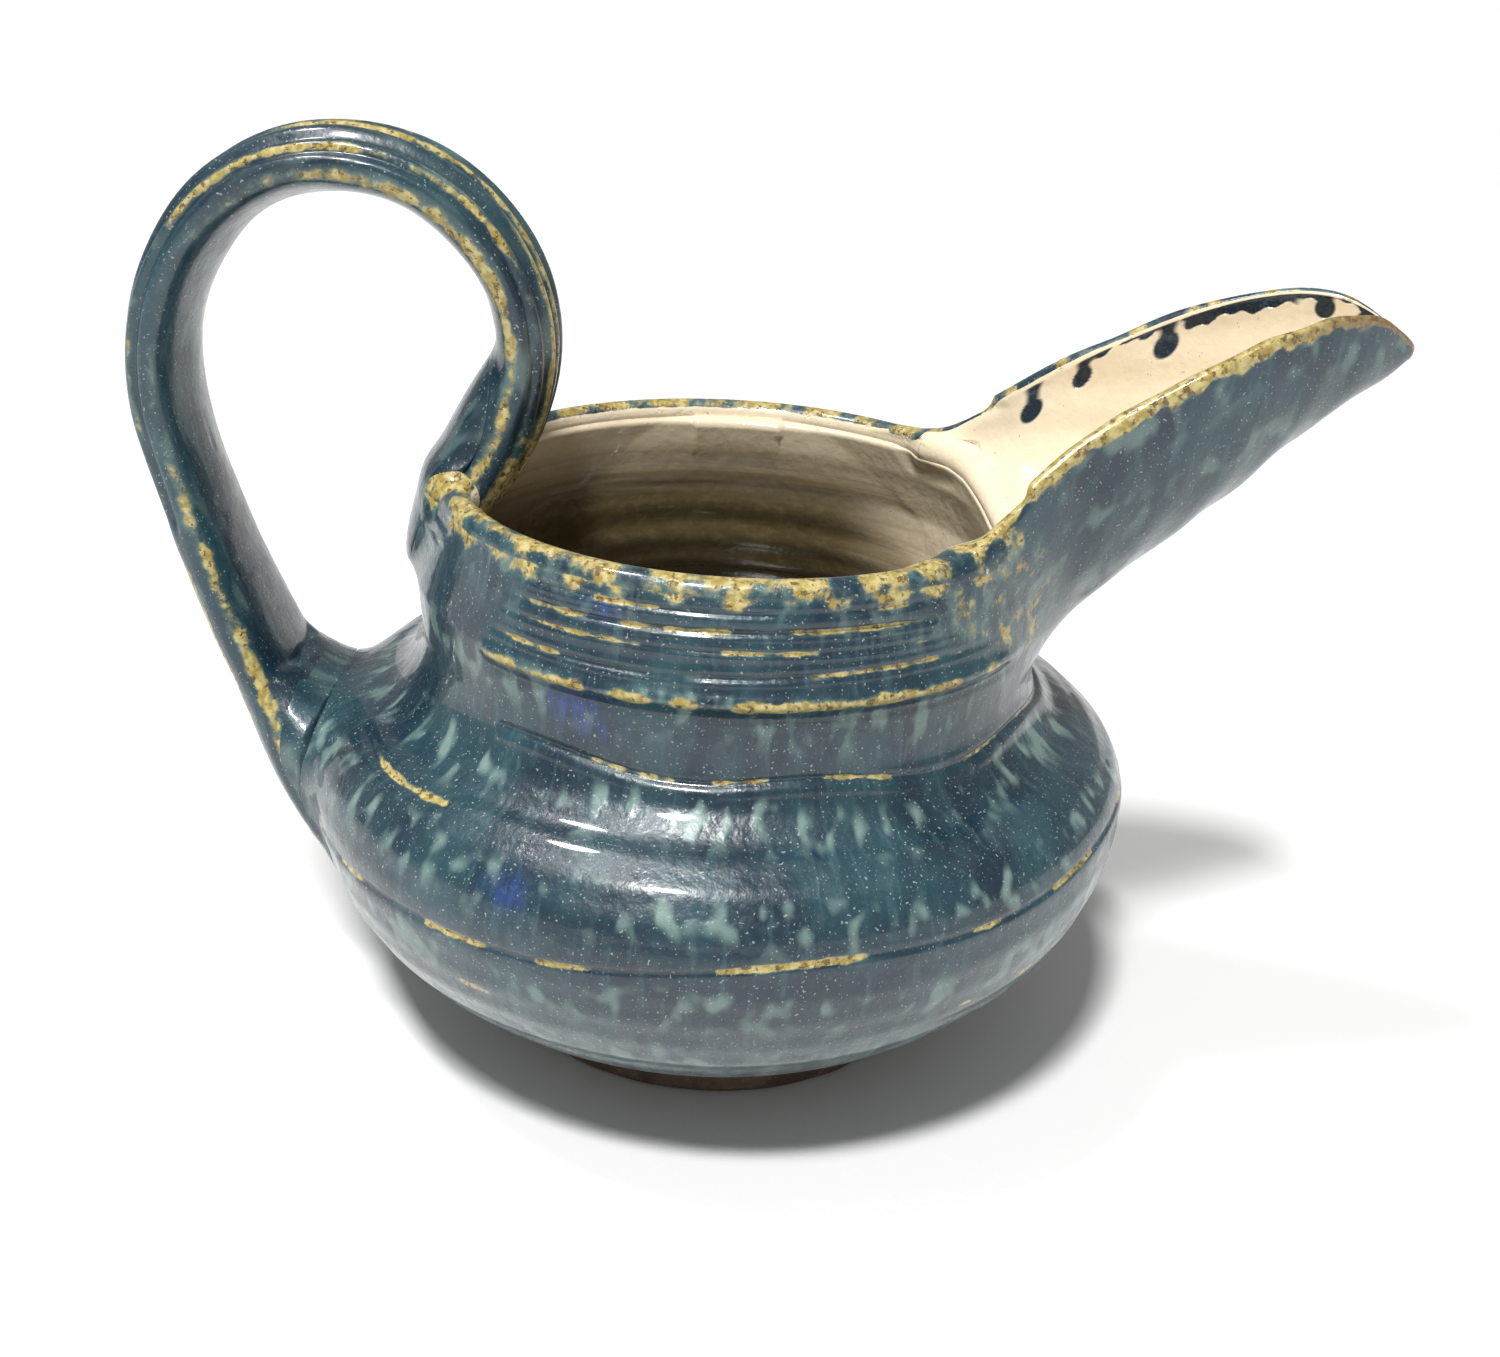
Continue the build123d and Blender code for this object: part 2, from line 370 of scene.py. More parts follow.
def strap_field(p):
    x, y, z = p.T
    best = np.full(len(p), 1e9)
    place = np.zeros(len(p))
    offset = np.zeros(len(p))
    beyond = np.zeros(len(p))
    for i in range(len(STRAP_LINE) - 1):
        ax, az, _ = STRAP_LINE[i]
        bx, bz, _ = STRAP_LINE[i + 1]
        dx, dz = bx - ax, bz - az
        length = math.hypot(dx, dz)
        along = ((x - ax) * dx + (z - az) * dz) / length
        t = np.clip(along, 0, length)
        d = (x - ax - t * dx / length) ** 2 + (z - az - t * dz / length) ** 2
        better = d < best
        best = np.where(better, d, best)
        place = np.where(better, (STRAP_ALONG[i] + t) / STRAP_LENGTH, place)
        side = ((z - az) * dx - (x - ax) * dz) / length
        offset = np.where(better, side, offset)
        over = np.abs(along - t) if i in (0, len(STRAP_LINE) - 2) else 0 * along
        beyond = np.where(better, over, beyond)
    half = strap_half_width(place)
    thick = strap_thickness(place)
    reach = np.where(offset > 0, STRAP_OUTER, STRAP_INNER) * thick
    u, v = np.abs(y) / half, np.abs(offset) / reach
    q = (u**STRAP_POWER + v**STRAP_POWER + 1e-12) ** (1 / STRAP_POWER)
    gu = (u / q) ** (STRAP_POWER - 1) / half
    gv = (v / q) ** (STRAP_POWER - 1) / reach
    flat = (q - 1) / np.maximum(np.hypot(gu, gv), 1e-6)
    flat = np.maximum(flat, -reach)
    return np.where(beyond > 0, np.hypot(np.maximum(flat, 0), beyond) + np.minimum(flat, 0), flat)


def wad_frame(wad):
    """A wad's middle, its half sizes and its own three directions as rows, leaning in the handle's plane."""
    lean = math.radians(wad[2])
    turn = np.array([(math.cos(lean), 0, -math.sin(lean)), (0, 1, 0), (math.sin(lean), 0, math.cos(lean))])
    return np.array(wad[0]), np.array(wad[1]), turn


def wad_field(p, wad):
    middle, sizes, turn = wad_frame(wad)
    q = (p - middle) @ turn.T / sizes
    k0 = np.sqrt((q**2).sum(1)) + 1e-9
    k1 = np.sqrt(((q / sizes) ** 2).sum(1)) + 1e-9
    return k0 * (k0 - 1) / k1


FIELDS = {
    "wall": wall_field,
    "spout": spout_field,
    "coil": coil_field,
    "strap": strap_field,
    "upper": lambda p: wad_field(p, UPPER_ROOT),
    "lower": lambda p: wad_field(p, LOWER_ROOT),
}


def clay(p):
    """All the clay as one field, rounded where the pieces were worked together."""
    left = p[:, 0] < -10
    right = p[:, 0] > 8
    total = FIELDS["wall"](p)
    if left.any():
        q = p[left]
        low = ease(62, 52, q[:, 2])
        high = ease(70, 78, q[:, 2]) * ease(104, 92, q[:, 2])
        part = soft_min(total[left], FIELDS["upper"](q), 5.0)
        part = soft_min(part, FIELDS["lower"](q), 7.0)
        total[left] = soft_min(part, FIELDS["strap"](q), 3.2 + 4.0 * low + 2.2 * high)
    if right.any():
        q = p[right]
        inside = ease(44.5, 40.0, np.hypot(q[:, 0], q[:, 1]))
        part = soft_min(total[right], FIELDS["coil"](q), 2.2)
        total[right] = soft_min(part, FIELDS["spout"](q), 5.5 - 3.0 * inside)
    return total


def others(p, own):
    """The lowest field of the pieces other than own."""
    names = [n for n in FIELDS if n != own]
    return np.min([FIELDS[n](p) for n in names], axis=0)


def settle(p, own, sink=0.05):
    """Moves points near other pieces on to the joined surface. Returns them and how joined each is."""
    shape = p.shape
    p = p.reshape(-1, 3).copy()
    gap = np.full(len(p), 99.0)
    near = (p[:, 0] < -8) | (p[:, 0] > 6)
    gap[near] = others(p[near], own)
    chosen = np.flatnonzero((gap < 9) & (gap > -3.5))
    q = p[chosen]
    weight = ease(-3.2, -0.8, gap[chosen]) * ease(9, 6, gap[chosen])
    step = 0.02
    for _ in range(4):
        value = clay(q)
        slope = np.column_stack([
            (clay(q + step * axis) - clay(q - step * axis)) / (2 * step) for axis in np.eye(3)
        ])
        size = np.maximum((slope**2).sum(1), 0.15)
        deeper = sink * ease(0.5, -0.5, gap[chosen])
        move = -(value + deeper) / size
        q = q + np.clip(move * weight, -1.2, 1.2)[:, None] * slope
    joined = ease(9, 1.5, gap) * (gap < 9)
    p[chosen] = q
    return p.reshape(shape), joined.reshape(shape[:-1])


def grid_normals(p, wrap_rows=False):
    """Normals of a grid of points whose rows close on themselves, from the differences both ways."""
    across = np.roll(p, -1, 1) - np.roll(p, 1, 1)
    along = np.roll(p, -1, 0) - np.roll(p, 1, 0) if wrap_rows else np.gradient(p, axis=0)
    n = np.cross(across, along)
    return n / np.maximum(np.linalg.norm(n, axis=-1, keepdims=True), 1e-9)


def handmade(p):
    """The pot's small unevenness: its belly is fuller on the spout's side, and nothing is quite true."""
    x, y, z = p[..., 0], p[..., 1], p[..., 2]
    lift = ease(0, 10, z) * ease(50, 34, z)
    q = p.copy()
    q[..., 2] += 2.3 * lift * np.clip(x / 58, 0, 1) ** 1.6
    angle = np.arctan2(y, x)
    belly = ease(4, 20, z) * ease(62, 48, z)
    q[..., 0] *= 1 + 0.003 * belly * np.sin(2 * angle + 0.7)
    q[..., 1] *= 1 + 0.003 * belly * np.sin(3 * angle + 2.1)
    return q


# ------------ meshes


# Masks of the outer glaze: ochre edges, cream, bare clay, the grey low on the pot, rows of pale runs,
# cobalt spots, brown in the ochre and dark drips
GLAZE_MASKS = ("edge", "cream", "bare", "low", "run", "cobalt", "brown", "ink")
# Points round the turned pieces
BODY_COLUMNS = 704
LINER_COLUMNS = 512
FOOT_COLUMNS = 320


def make_piece(name, points, faces, values, material, node):
    """A closed, smooth-shaded mesh with its masks, which rides on the body and stands for its CAD node."""
    mesh = bpy.data.meshes.new(name)
    mesh.from_pydata([], [], [])
    count = len(points)
    mesh.vertices.add(count)
    placed = handmade(points) + (AXIS_X, 0, 0)
    mesh.vertices.foreach_set("co", (placed / MM).astype(np.float32).ravel())
    sizes = np.concatenate([np.full(len(f), f.shape[1]) for f in faces])
    loops = np.concatenate([f.ravel() for f in faces])
    mesh.loops.add(len(loops))
    mesh.loops.foreach_set("vertex_index", loops.astype(np.int32))
    mesh.polygons.add(len(sizes))
    starts = np.concatenate([[0], np.cumsum(sizes)[:-1]])
    mesh.polygons.foreach_set("loop_start", starts.astype(np.int32))
    mesh.update(calc_edges=True)
    mesh.validate()
    mesh.shade_smooth()
    for key, value in values.items():
        kind, field = ("FLOAT_VECTOR", "vector") if key == "flow" else ("FLOAT", "value")
        layer = mesh.attributes.new(key, kind, "POINT")
        layer.data.foreach_set(field, np.asarray(value, np.float32).ravel())
    piece = bpy.data.objects.new(name, mesh)
    bpy.context.collection.objects.link(piece)
    mesh.materials.append(material)
    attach(piece, "root")
    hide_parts(node)
    return piece


def grid_faces(rows, columns, wrap_rows=False, flip=False):
    """Quads of a grid whose points run row by row, each row closed on itself."""
    r = np.arange(rows if wrap_rows else rows - 1)
    r, c = np.meshgrid(r, np.arange(columns), indexing="ij")
    r2, c2 = (r + 1) % rows, (c + 1) % columns
    quads = np.stack([r * columns + c, r * columns + c2, r2 * columns + c2, r2 * columns + c], -1)
    quads = quads.reshape(-1, 4)
    return quads[:, ::-1] if flip else quads


def cap_fan(ring, centre, flip=False):
    """Triangles from a ring of points to a centre point."""
    nxt = np.roll(ring, -1)
    fan = np.column_stack([ring, nxt, np.full(len(ring), centre)])
    return fan[:, ::-1] if flip else fan


def capped_faces(rows, columns, count, flip=True):
    """Faces of a tube of rings with count points in all, of which the last two close its ends."""
    ring = np.arange(columns)
    return [
        grid_faces(rows, columns, flip=flip),
        cap_fan(ring, count - 2, flip=not flip),
        cap_fan(ring + (rows - 1) * columns, count - 1, flip=flip),
    ]


def with_ends(values):
    """Masks of a tube's rings, with one more value for the point that closes each end."""
    return {key: np.concatenate([v.ravel(), [v[0].mean(), v[-1].mean()]]) for key, v in values.items()}


def glaze_masks(like, **given):
    """Every mask that the outer glaze reads, zero where none is given."""
    return {name: given.get(name, np.zeros_like(like)) for name in GLAZE_MASKS}


def revolve(outline, columns):
    """Grid of an outline turned about the axis, rows along it and columns round, with each angle."""
    angle = np.linspace(-math.pi, math.pi, columns, endpoint=False)
    r, z = outline[:, 0][:, None], outline[:, 1][:, None]
    p = np.stack([r * np.cos(angle), r * np.sin(angle), z + 0 * angle], -1)
    return p, np.broadcast_to(angle, p.shape[:2])


# ------------ materials


class Shader:
    """A material's nodes, added one call at a time."""

    def __init__(self, name):
        self.material = bpy.data.materials.new(name)
        self.material.use_nodes = True
        self.nodes = self.material.node_tree.nodes
        self.links = self.material.node_tree.links
        self.nodes.clear()

    def node(self, kind, inputs=None, **settings):
        made = self.nodes.new(kind)
        for key, value in settings.items():
            setattr(made, key, value)
        for key, value in (inputs or {}).items():
            if isinstance(value, bpy.types.NodeSocket):
                self.links.new(value, made.inputs[key])
            else:
                made.inputs[key].default_value = value
        return made

    def attribute(self, name):
        return self.node("ShaderNodeAttribute", attribute_name=name).outputs["Fac"]

    def place(self, across, up=None):
        """Object coordinates in millimetres, scaled across and, where it differs, upwards."""
        where = self.node("ShaderNodeTexCoord").outputs["Object"]
        size = (MM * across, MM * across, MM * (across if up is None else up))
        return self.node("ShaderNodeMapping", {"Vector": where, "Scale": size}).outputs["Vector"]

    def flow(self, across, down):
        """Places in millimetres across and along the way that the glaze ran, scaled."""
        where = self.node("ShaderNodeAttribute", attribute_name="flow").outputs["Vector"]
        size = (across, across, down)
        return self.node("ShaderNodeMapping", {"Vector": where, "Scale": size}).outputs["Vector"]

    def noise(self, where, detail=3.0, rough=0.55, warp=0.0):
        inputs = {"Vector": where, "Scale": 1.0, "Detail": detail, "Roughness": rough, "Distortion": warp}
        return self.node("ShaderNodeTexNoise", inputs).outputs["Fac"]

    def step(self, value, low, high, start=0.0, end=1.0):
        inputs = {"Value": value, "From Min": low, "From Max": high, "To Min": start, "To Max": end}
        made = self.node("ShaderNodeMapRange", inputs, interpolation_type="SMOOTHSTEP")
        return made.outputs["Result"]

    def math(self, kind, a, b=0.0):
        return self.node("ShaderNodeMath", {0: a, 1: b}, operation=kind).outputs["Value"]

    def mix(self, factor, a, b):
        colours = {0: factor}
        for index, value in ((6, a), (7, b)):
            colours[index] = value if isinstance(value, bpy.types.NodeSocket) else (*value, 1.0)
        return self.node("ShaderNodeMix", colours, data_type="RGBA").outputs[2]

    def blend(self, factor, a, b):
        return self.node("ShaderNodeMix", {0: factor, 2: a, 3: b}, data_type="FLOAT").outputs[0]

    def surface(self, colour, roughness, bump, distance, coat=0.0, coat_roughness=0.05):
        normal = self.node("ShaderNodeBump", {"Height": bump, "Strength": 1.0, "Distance": distance / MM})
        inputs = {
            "Base Color": colour, "Roughness": roughness, "Normal": normal.outputs["Normal"],
            "Coat Weight": coat, "Coat Roughness": coat_roughness, "IOR": 1.5,
        }
        made = self.node("ShaderNodeBsdfPrincipled", inputs)
        out = self.node("ShaderNodeOutputMaterial")
        self.links.new(made.outputs["BSDF"], out.inputs["Surface"])
        return self.material


def cream_colour(s, painted_shade=None):
    """Warm cream glaze with faint throwing rings, iron specks and a pinker tint in places. A shade mask,
    where given, paints shade inside the pot: the cream paler near the lip, darker and browner lower down,
    with darker rings.
    """
    fine = s.noise(s.place(0.5), detail=4)
    rings = s.noise(s.place(0.012, 0.42), detail=3)
    colour = s.mix(s.step(fine, 0.35, 0.7), (0.50, 0.39, 0.25), (0.63, 0.52, 0.36))
    if painted_shade is None:
        colour = s.mix(0.75, colour, (0.89, 0.77, 0.56))
    else:
        # Painted shade: paler cream near the lip, and throwing rings that turn dark brown further down
        colour = s.mix(s.math("MULTIPLY", s.math("SUBTRACT", 1.0, painted_shade), 0.75), colour, (0.89, 0.77, 0.56))
        ring = s.math("MULTIPLY", s.step(rings, 0.44, 0.60, 0.0, 0.60), s.step(painted_shade, 0.0, 0.5, 0.15, 1.0))
        colour = s.mix(ring, colour, (0.27, 0.185, 0.095))
    patches = s.noise(s.place(0.06), detail=2)
    colour = s.mix(s.step(patches, 0.5, 0.72, 0.0, 0.35), colour, (0.64, 0.50, 0.40))
    if painted_shade is not None:
        # Painted shade: dark brown patches further down inside the pot
        dark = s.math("MULTIPLY", painted_shade, s.step(fine, 0.2, 0.6, 0.80, 0.94))
        colour = s.mix(dark, colour, (0.056, 0.042, 0.014))
    specks = s.noise(s.place(1.3), detail=1)
    return s.mix(s.step(specks, 0.735, 0.79, 0.0, 0.5), colour, (0.16, 0.09, 0.04))


def blue_colour(s, broken):
    """Slate blue glaze with pale runs, streaks and speckle. Returns its colour and the pale runs' mask."""
    depth = s.noise(s.flow(0.085, 0.05), detail=4, rough=0.6, warp=0.3)
    colour = s.mix(s.step(depth, 0.36, 0.66), (0.006, 0.021, 0.037), (0.017, 0.055, 0.072))
    streaks = s.noise(s.flow(0.62, 0.10), detail=4, rough=0.6, warp=0.15)
    colour = s.mix(s.step(streaks, 0.52, 0.74, 0.0, 0.50), colour, (0.055, 0.115, 0.135))
    runs = s.noise(s.flow(0.36, 0.22), detail=1, rough=0.4, warp=0.05)
    bands = s.attribute("run")
    pale = s.math("MULTIPLY", s.step(runs, 0.50, 0.70), bands)
    colour = s.mix(s.math("MULTIPLY", pale, 0.80), colour, (0.20, 0.30, 0.27))
    low = s.attribute("low")
    grey = s.noise(s.flow(0.42, 0.16), detail=5, rough=0.65)
    colour = s.mix(s.math("MULTIPLY", low, s.step(grey, 0.40, 0.68, 0.05, 0.75)), colour, (0.17, 0.20, 0.19))
    cobalt = s.attribute("cobalt")
    spots = s.math("MULTIPLY", cobalt, s.step(streaks, 0.40, 0.62, 0.0, 0.8))
    colour = s.mix(spots, colour, (0.020, 0.050, 0.25))
    grain = s.noise(s.place(1.6, 1.2), detail=3, rough=0.7)
    colour = s.mix(s.step(grain, 0.56, 0.74, 0.0, 0.26), colour, (0.13, 0.19, 0.19))
    colour = s.mix(s.step(grain, 0.42, 0.28, 0.0, 0.45), colour, (0.004, 0.010, 0.020))
    dots = s.noise(s.place(2.9), detail=0)
    colour = s.mix(s.step(dots, 0.74, 0.80, 0.0, 0.55), colour, (0.40, 0.46, 0.42))
    halo = s.math("MULTIPLY", s.step(broken, 0.22, 0.50), s.step(runs, 0.38, 0.60, 0.15, 0.65))
    return s.mix(halo, colour, (0.12, 0.20, 0.18)), pale


def make_glaze():
    """The one glaze of body, spout, handle and roots, which runs on from piece to piece."""
    s = Shader("slate_glaze")
    edge = s.attribute("edge")
    cream = s.attribute("cream")
    patch = s.noise(s.place(0.34), detail=4, rough=0.6)
    broken = s.math("ADD", edge, s.math("MULTIPLY", s.math("SUBTRACT", patch, 0.5), 1.25))
    broken = s.math("MULTIPLY", broken, s.step(edge, 0.02, 0.2))
    colour, pale = blue_colour(s, broken)
    tone = s.noise(s.place(0.9), detail=3)
    ochre = s.mix(s.step(tone, 0.36, 0.66), (0.31, 0.225, 0.045), (0.53, 0.45, 0.19))
    pits = s.noise(s.place(0.95), detail=3, rough=0.6)
    ochre = s.mix(s.step(pits, 0.54, 0.64, 0.0, 0.9), ochre, (0.13, 0.070, 0.014))
    brown = s.attribute("brown")
    ochre = s.mix(s.math("MULTIPLY", brown, 0.75), ochre, (0.15, 0.075, 0.03))
    colour = s.mix(s.step(broken, 0.40, 0.62), colour, ochre)
    ragged = s.math("MULTIPLY", s.math("SUBTRACT", patch, 0.5), 0.5)
    cream_mask = s.step(s.math("ADD", cream, ragged), 0.44, 0.56)
    colour = s.mix(cream_mask, colour, cream_colour(s))
    ink = s.step(s.attribute("ink"), 0.22, 0.72)
    colour = s.mix(ink, colour, (0.008, 0.020, 0.032))
    # Bare clay at the base: its dark brown is partly the clay's own colour and partly painted shade under
    # the belly
    bare = s.step(s.attribute("bare"), 0.4, 0.6)
    colour = s.mix(bare, colour, (0.085, 0.055, 0.034))
    rough = s.blend(cream_mask, s.step(patch, 0.3, 0.7, 0.27, 0.42), 0.16)
    rough = s.blend(ink, rough, 0.08)
    rough = s.blend(bare, rough, 0.85)
    peel = s.noise(s.place(0.9), detail=2)
    pitted = s.math("MULTIPLY", s.step(broken, 0.35, 0.6), s.step(pits, 0.52, 0.68, 0.0, -0.9))
    height = s.math("ADD", s.math("MULTIPLY", peel, 0.55), pitted)
    height = s.math("ADD", height, s.math("MULTIPLY", pale, 0.35))
    height = s.math("ADD", height, s.math("MULTIPLY", ink, 0.8))
    return s.surface(colour, rough, height, 0.17, coat=0.50, coat_roughness=0.035)


def make_cream():
    s = Shader("cream_glaze")
    # The inside's cream takes its painted shade from the mask
    colour = cream_colour(s, s.attribute("painted_shade"))
    peel = s.noise(s.place(0.5), detail=2)
    rough = s.step(peel, 0.3, 0.7, 0.13, 0.22)
    return s.surface(colour, rough, peel, 0.16, coat=0.4, coat_roughness=0.06)


def make_clay():
    s = Shader("bare_clay")
    grain = s.noise(s.place(1.4), detail=4, rough=0.7)
    patches = s.noise(s.place(0.12), detail=3)
    # Dark browns: partly the clay's own colour, partly painted shade where the foot sits under the belly
    colour = s.mix(s.step(patches, 0.35, 0.65), (0.075, 0.050, 0.032), (0.14, 0.095, 0.062))
    colour = s.mix(s.step(grain, 0.55, 0.72, 0.0, 0.6), colour, (0.30, 0.21, 0.14))
    colour = s.mix(s.step(grain, 0.40, 0.30, 0.0, 0.6), colour, (0.04, 0.022, 0.012))
    return s.surface(colour, s.step(grain, 0.3, 0.7, 0.72, 0.92), grain, 0.35)


GLAZE = make_glaze()
CREAM = make_cream()
CLAY = make_clay()


# ------------ thrown body

# Incised lines: height, depth, half width, how much they wander and how much of them is broken by ochre
BODY_LINES = [
    (78.4, 0.42, 0.34, 0.10, 0.40),
    (75.9, 0.48, 0.36, 0.16, 0.88),
    (73.7, 0.30, 0.26, 0.12, 0.55),
    (70.9, 0.40, 0.34, 0.20, 0.85),
]
# Cobalt spots: degrees round the pot, height and size
COBALT_SPOTS = [
    (-114, 64, 2.6), (-110, 62, 1.8), (-115, 44, 1.7), (-111, 77, 1.5), (-22, 33, 1.8), (60, 58, 2.4),
    (140, 40, 2.6), (95, 72, 1.6),
]


# Rows of pale runs: distance down from the lip and strength
RUN_ROWS = [(0.0, 0.35), (13.0, 0.8), (27.0, 1.0), (40.0, 1.0), (53.0, 0.8), (64.0, 0.7), (78.0, 0.6)]


def run_bands(along, angle):
    """Where the pale runs gather: in rows below each ridge, fading as they drop."""
    wander = waves(5, 5, 2, 7)(angle)
    rows = 0
    for place, size in RUN_ROWS:
        d = along - place - wander
        rows = rows + size * ease(-1.5, 0.8, d) * ease(9.0, 3.0, d)
    return np.clip(rows, 0.06, 1)


def cobalt_mask(p):
    angle = np.degrees(np.arctan2(p[..., 1], p[..., 0]))
    r = np.hypot(p[..., 0], p[..., 1])
    total = np.zeros(p.shape[:-1])
    for place, z, size in COBALT_SPOTS:
        turn = (angle - place + 180) % 360 - 180
        d2 = (np.radians(turn) * r / 1.5) ** 2 + (p[..., 2] - z) ** 2
        total = np.maximum(total, np.exp(-d2 / size**2))
    return total


def throwing_rings(along, angle, seed, size, spacing):
    """Low ridges left by the fingers, a spiral that is never quite even."""
    drift = waves(seed, 4, 1, 3)(angle) * 0.35
    wide = waves_2d(seed + 1, 9, 0, 3, 11.0)(angle, along)
    fine = np.sin(2 * math.pi * (along + angle / math.pi * spacing / 2) / spacing + drift)
    return size * (0.55 * fine + 0.6 * wide)


def body_details(p, along_down, angle):
    """Heights added along the outside's normals, and the mask of ochre edges."""

    def breaks(low, high, *wave):
        """Where a random wave round the pot stands above low, and fully above high."""
        return ease(low, high, waves(*wave)(angle))

    z = p[..., 2]
    height = throwing_rings(along_down, angle, 11, 0.10, 4.6)
    edge = np.zeros_like(z)
    for number, (line_z, depth, half, wander, broken) in enumerate(BODY_LINES):
        centre = line_z + wander * waves(20 + number, 4, 1, 5)(angle)
        d = z - centre
        strength = breaks(-2.2, -1.0, 30 + number, 7, 3, 15)
        height += -depth * strength * bell(d, half) + 0.13 * bell(np.abs(d) - 2.2 * half, half)
        start = 2.3 * (0.5 - broken)
        dashes = breaks(start - 0.3, start + 0.3, 40 + number, 7, 2, 15)
        dashes = dashes * (0.72 + 0.28 * breaks(-1, 1, 45 + number, 9, 20, 80))
        edge = np.maximum(edge, 0.95 * dashes * bell(d, 1.15 * half))
    # The thick ridge where the collar starts
    ridge_z = COLLAR_Z - 0.4 + 0.3 * waves(51, 3, 1, 4)(angle)
    d = z - ridge_z
    height += 0.75 * bell(d, 1.0) - 0.28 * bell(d + 2.3, 0.8)
    edge = np.maximum(edge, (0.45 + 0.45 * breaks(-1.2, 0.5, 52, 8, 6, 40)) * bell(d + 0.1, 0.85))
    # The line that winds once round the shoulder, dropping as it goes
    turn = (angle + math.pi * 0.72) % (2 * math.pi)
    line_z = 57.2 - 8.6 * ease(0, 1, turn / (2 * math.pi)) + 0.35 * waves(53, 5, 2, 9)(angle)
    d = z - line_z
    height += -0.45 * bell(d, 0.4) + 0.22 * bell(d + 1.3, 0.7)
    dashes = breaks(-0.5, 0.1, 54, 9, 4, 26) * (0.62 + 0.38 * breaks(-0.9, 0.6, 58, 9, 30, 90))
    edge = np.maximum(edge, dashes * bell(d - 0.1, 0.30))
    # The line on the widest part of the belly
    line_z = 37.0 + 3.6 * np.sin(angle + 1.9) + 0.5 * waves(55, 5, 2, 7)(angle)
    d = z - line_z
    height += -0.35 * bell(d, 0.45)
    edge = np.maximum(edge, breaks(-0.1, 0.6, 56, 9, 3, 20) * bell(d, 0.55))
    # Short broken marks under it
    line_z = 27.5 + 1.2 * np.sin(angle * 2 + 0.4)
    edge = np.maximum(edge, 0.8 * breaks(0.9, 1.5, 57, 9, 6, 38) * bell(z - line_z, 0.6))
    return height, edge


def build_body():
    outer, _ = resample(OUTER_SIDE, 0.33)
    lip, _ = resample(np.vstack([OUTER_SIDE[-1:], LIP_ARC, INNER_SIDE[-1:]]), 0.33)
    inner, _ = resample(INNER_SIDE[::-1], 1.2)
    base_out = np.column_stack([np.linspace(2.0, OUTER_SIDE[0, 0], 26)[:-1], np.full(25, BASE_Z)])
    base_in = np.column_stack([np.linspace(INNER_SIDE[0, 0], 2.0, 16)[1:], np.full(15, BASE_Z + WALL)])
    outline = np.vstack([base_out, outer, lip[1:-1], inner, base_in])
    p, angle = revolve(outline, BODY_COLUMNS)
    along = distances(outline)
    first_out, last_out = len(base_out), len(base_out) + len(outer) - 1
    lip_end = last_out + len(lip) - 1
    down = (along[last_out] - along)[:, None] + 0 * angle
    p[..., 2] = lowered(p[..., 2], angle)
    p, joined = settle(p, "wall")
    row = np.arange(len(outline))[:, None]
    outside = (row >= first_out) & (row <= last_out)
    height, edge = body_details(p, down, angle)
    fade = 1 - ease(0.35, 0.95, joined)
    # The outline runs outwards and up, so its normals point out of the clay
    normals = grid_normals(p)
    foot_fade = ease(FOOT_RADIUS - 3, FOOT_RADIUS + 5, np.hypot(p[..., 0], p[..., 1]))
    foot_fade = np.where(p[..., 2] < 20, foot_fade, 1)
    p = p + normals * (height * (outside * fade) * foot_fade)[..., None]
    # Lip: ochre on its crest, dripping a little way down the outside
    over_lip = (row > last_out) & (row <= lip_end)
    into_lip = np.clip((along[:, None] - along[last_out]) / (along[lip_end] - along[last_out]), 0, 1)
    scallops = -0.1 + 0.7 * waves(61, 9, 18, 46)(angle) + 0.4 * waves(62, 4, 2, 6)(angle)
    lip_edge = ease(scallops + 3.2, scallops - 1.2, down) * outside
    thin = ease(-1.6, 0.6, waves(63, 8, 7, 30)(angle))
    crest = np.interp(into_lip, [0, 0.2, 0.4, 0.72, 0.82, 1], [0.5, 0.66, 1.0, 0.9, 0.6, 0.5])
    lip_edge = np.where(over_lip, crest, lip_edge) * (0.38 + 0.37 * thin)
    edge = np.where(outside, edge * fade, 0)
    edge = np.maximum(edge, lip_edge)
    blobs = joined * (p[..., 0] > 20) * outside * ease(55, 68, p[..., 2])
    edge = np.maximum(edge, 0.40 * blobs)
    cream = np.where(row > lip_end, 1.0, np.where(over_lip, ease(0.62, 0.98, into_lip), 0.0)) + 0 * angle
    x, y, z = p[..., 0], p[..., 1], p[..., 2]
    bare = ease(FOOT_RADIUS + 1.6, FOOT_RADIUS + 0.2, np.hypot(x, y)) * (z < BASE_Z + 3)
    trough = round_section(y, z, trough_half_width(x), trough_floor(x), spout_edge(x))
    in_trough = ease(0.9, -0.3, trough) * (x > 25) * (z > 66) * outside
    sill = np.maximum(in_trough, ease(41.5, 38.5, np.abs(np.degrees(angle))) * over_lip)
    edge = edge * (1 - sill)
    cream = np.maximum(cream, sill)
    values = with_ends(glaze_masks(
        edge, edge=edge, cream=cream, bare=bare, low=ease(34, 13, z) * outside,
        run=run_bands(down, angle), cobalt=cobalt_mask(p) * outside,
    ))
    flow = np.stack([50 * np.cos(angle), 50 * np.sin(angle), down], -1).reshape(-1, 3)
    points = np.vstack([p.reshape(-1, 3), [(0, 0, BASE_Z), (0, 0, BASE_Z + WALL)]])
    values["flow"] = np.vstack([flow, [(0, 0, flow[0, 2]), (0, 0, flow[-1, 2])]])
    faces = capped_faces(len(outline), BODY_COLUMNS, len(points), flip=False)
    return make_piece("thrown_body_glazed", points, faces, values, GLAZE, "thrown_body")


# ------------ liner glaze


